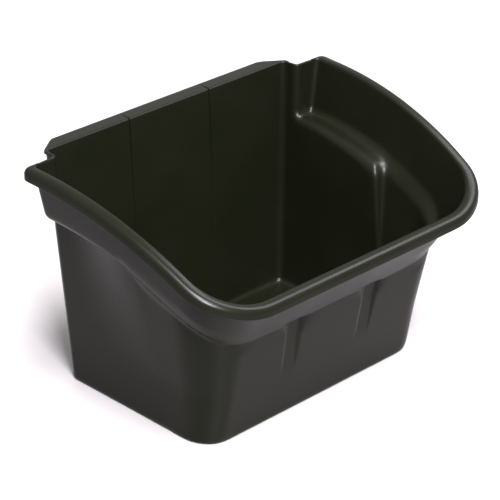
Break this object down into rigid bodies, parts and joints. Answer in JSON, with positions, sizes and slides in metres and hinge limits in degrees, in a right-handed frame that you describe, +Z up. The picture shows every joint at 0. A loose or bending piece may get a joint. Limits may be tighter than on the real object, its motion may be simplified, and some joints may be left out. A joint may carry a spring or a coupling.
{
  "type": "utility bin",
  "caption": "Open moulded utility bin with high sides that sweep down to a low front, a rolled rim and a rear flange that hangs on a service cart.",
  "frame": {"origin": "centre of the bounding box's footprint, on the plane of the base's underside", "axes": "+Z up; -Y towards the low open front; +Y towards the hanging flange; X across the width, the same on both sides"},
  "size_m": [0.432, 0.3074, 0.265],
  "materials": {
    "moulded_plastic": "satin charcoal, moulded through, with a fine even grain"
  },
  "bodies": {
    "root": {"bin_moulding": "moulded_plastic"}
  },
  "joints": []
}
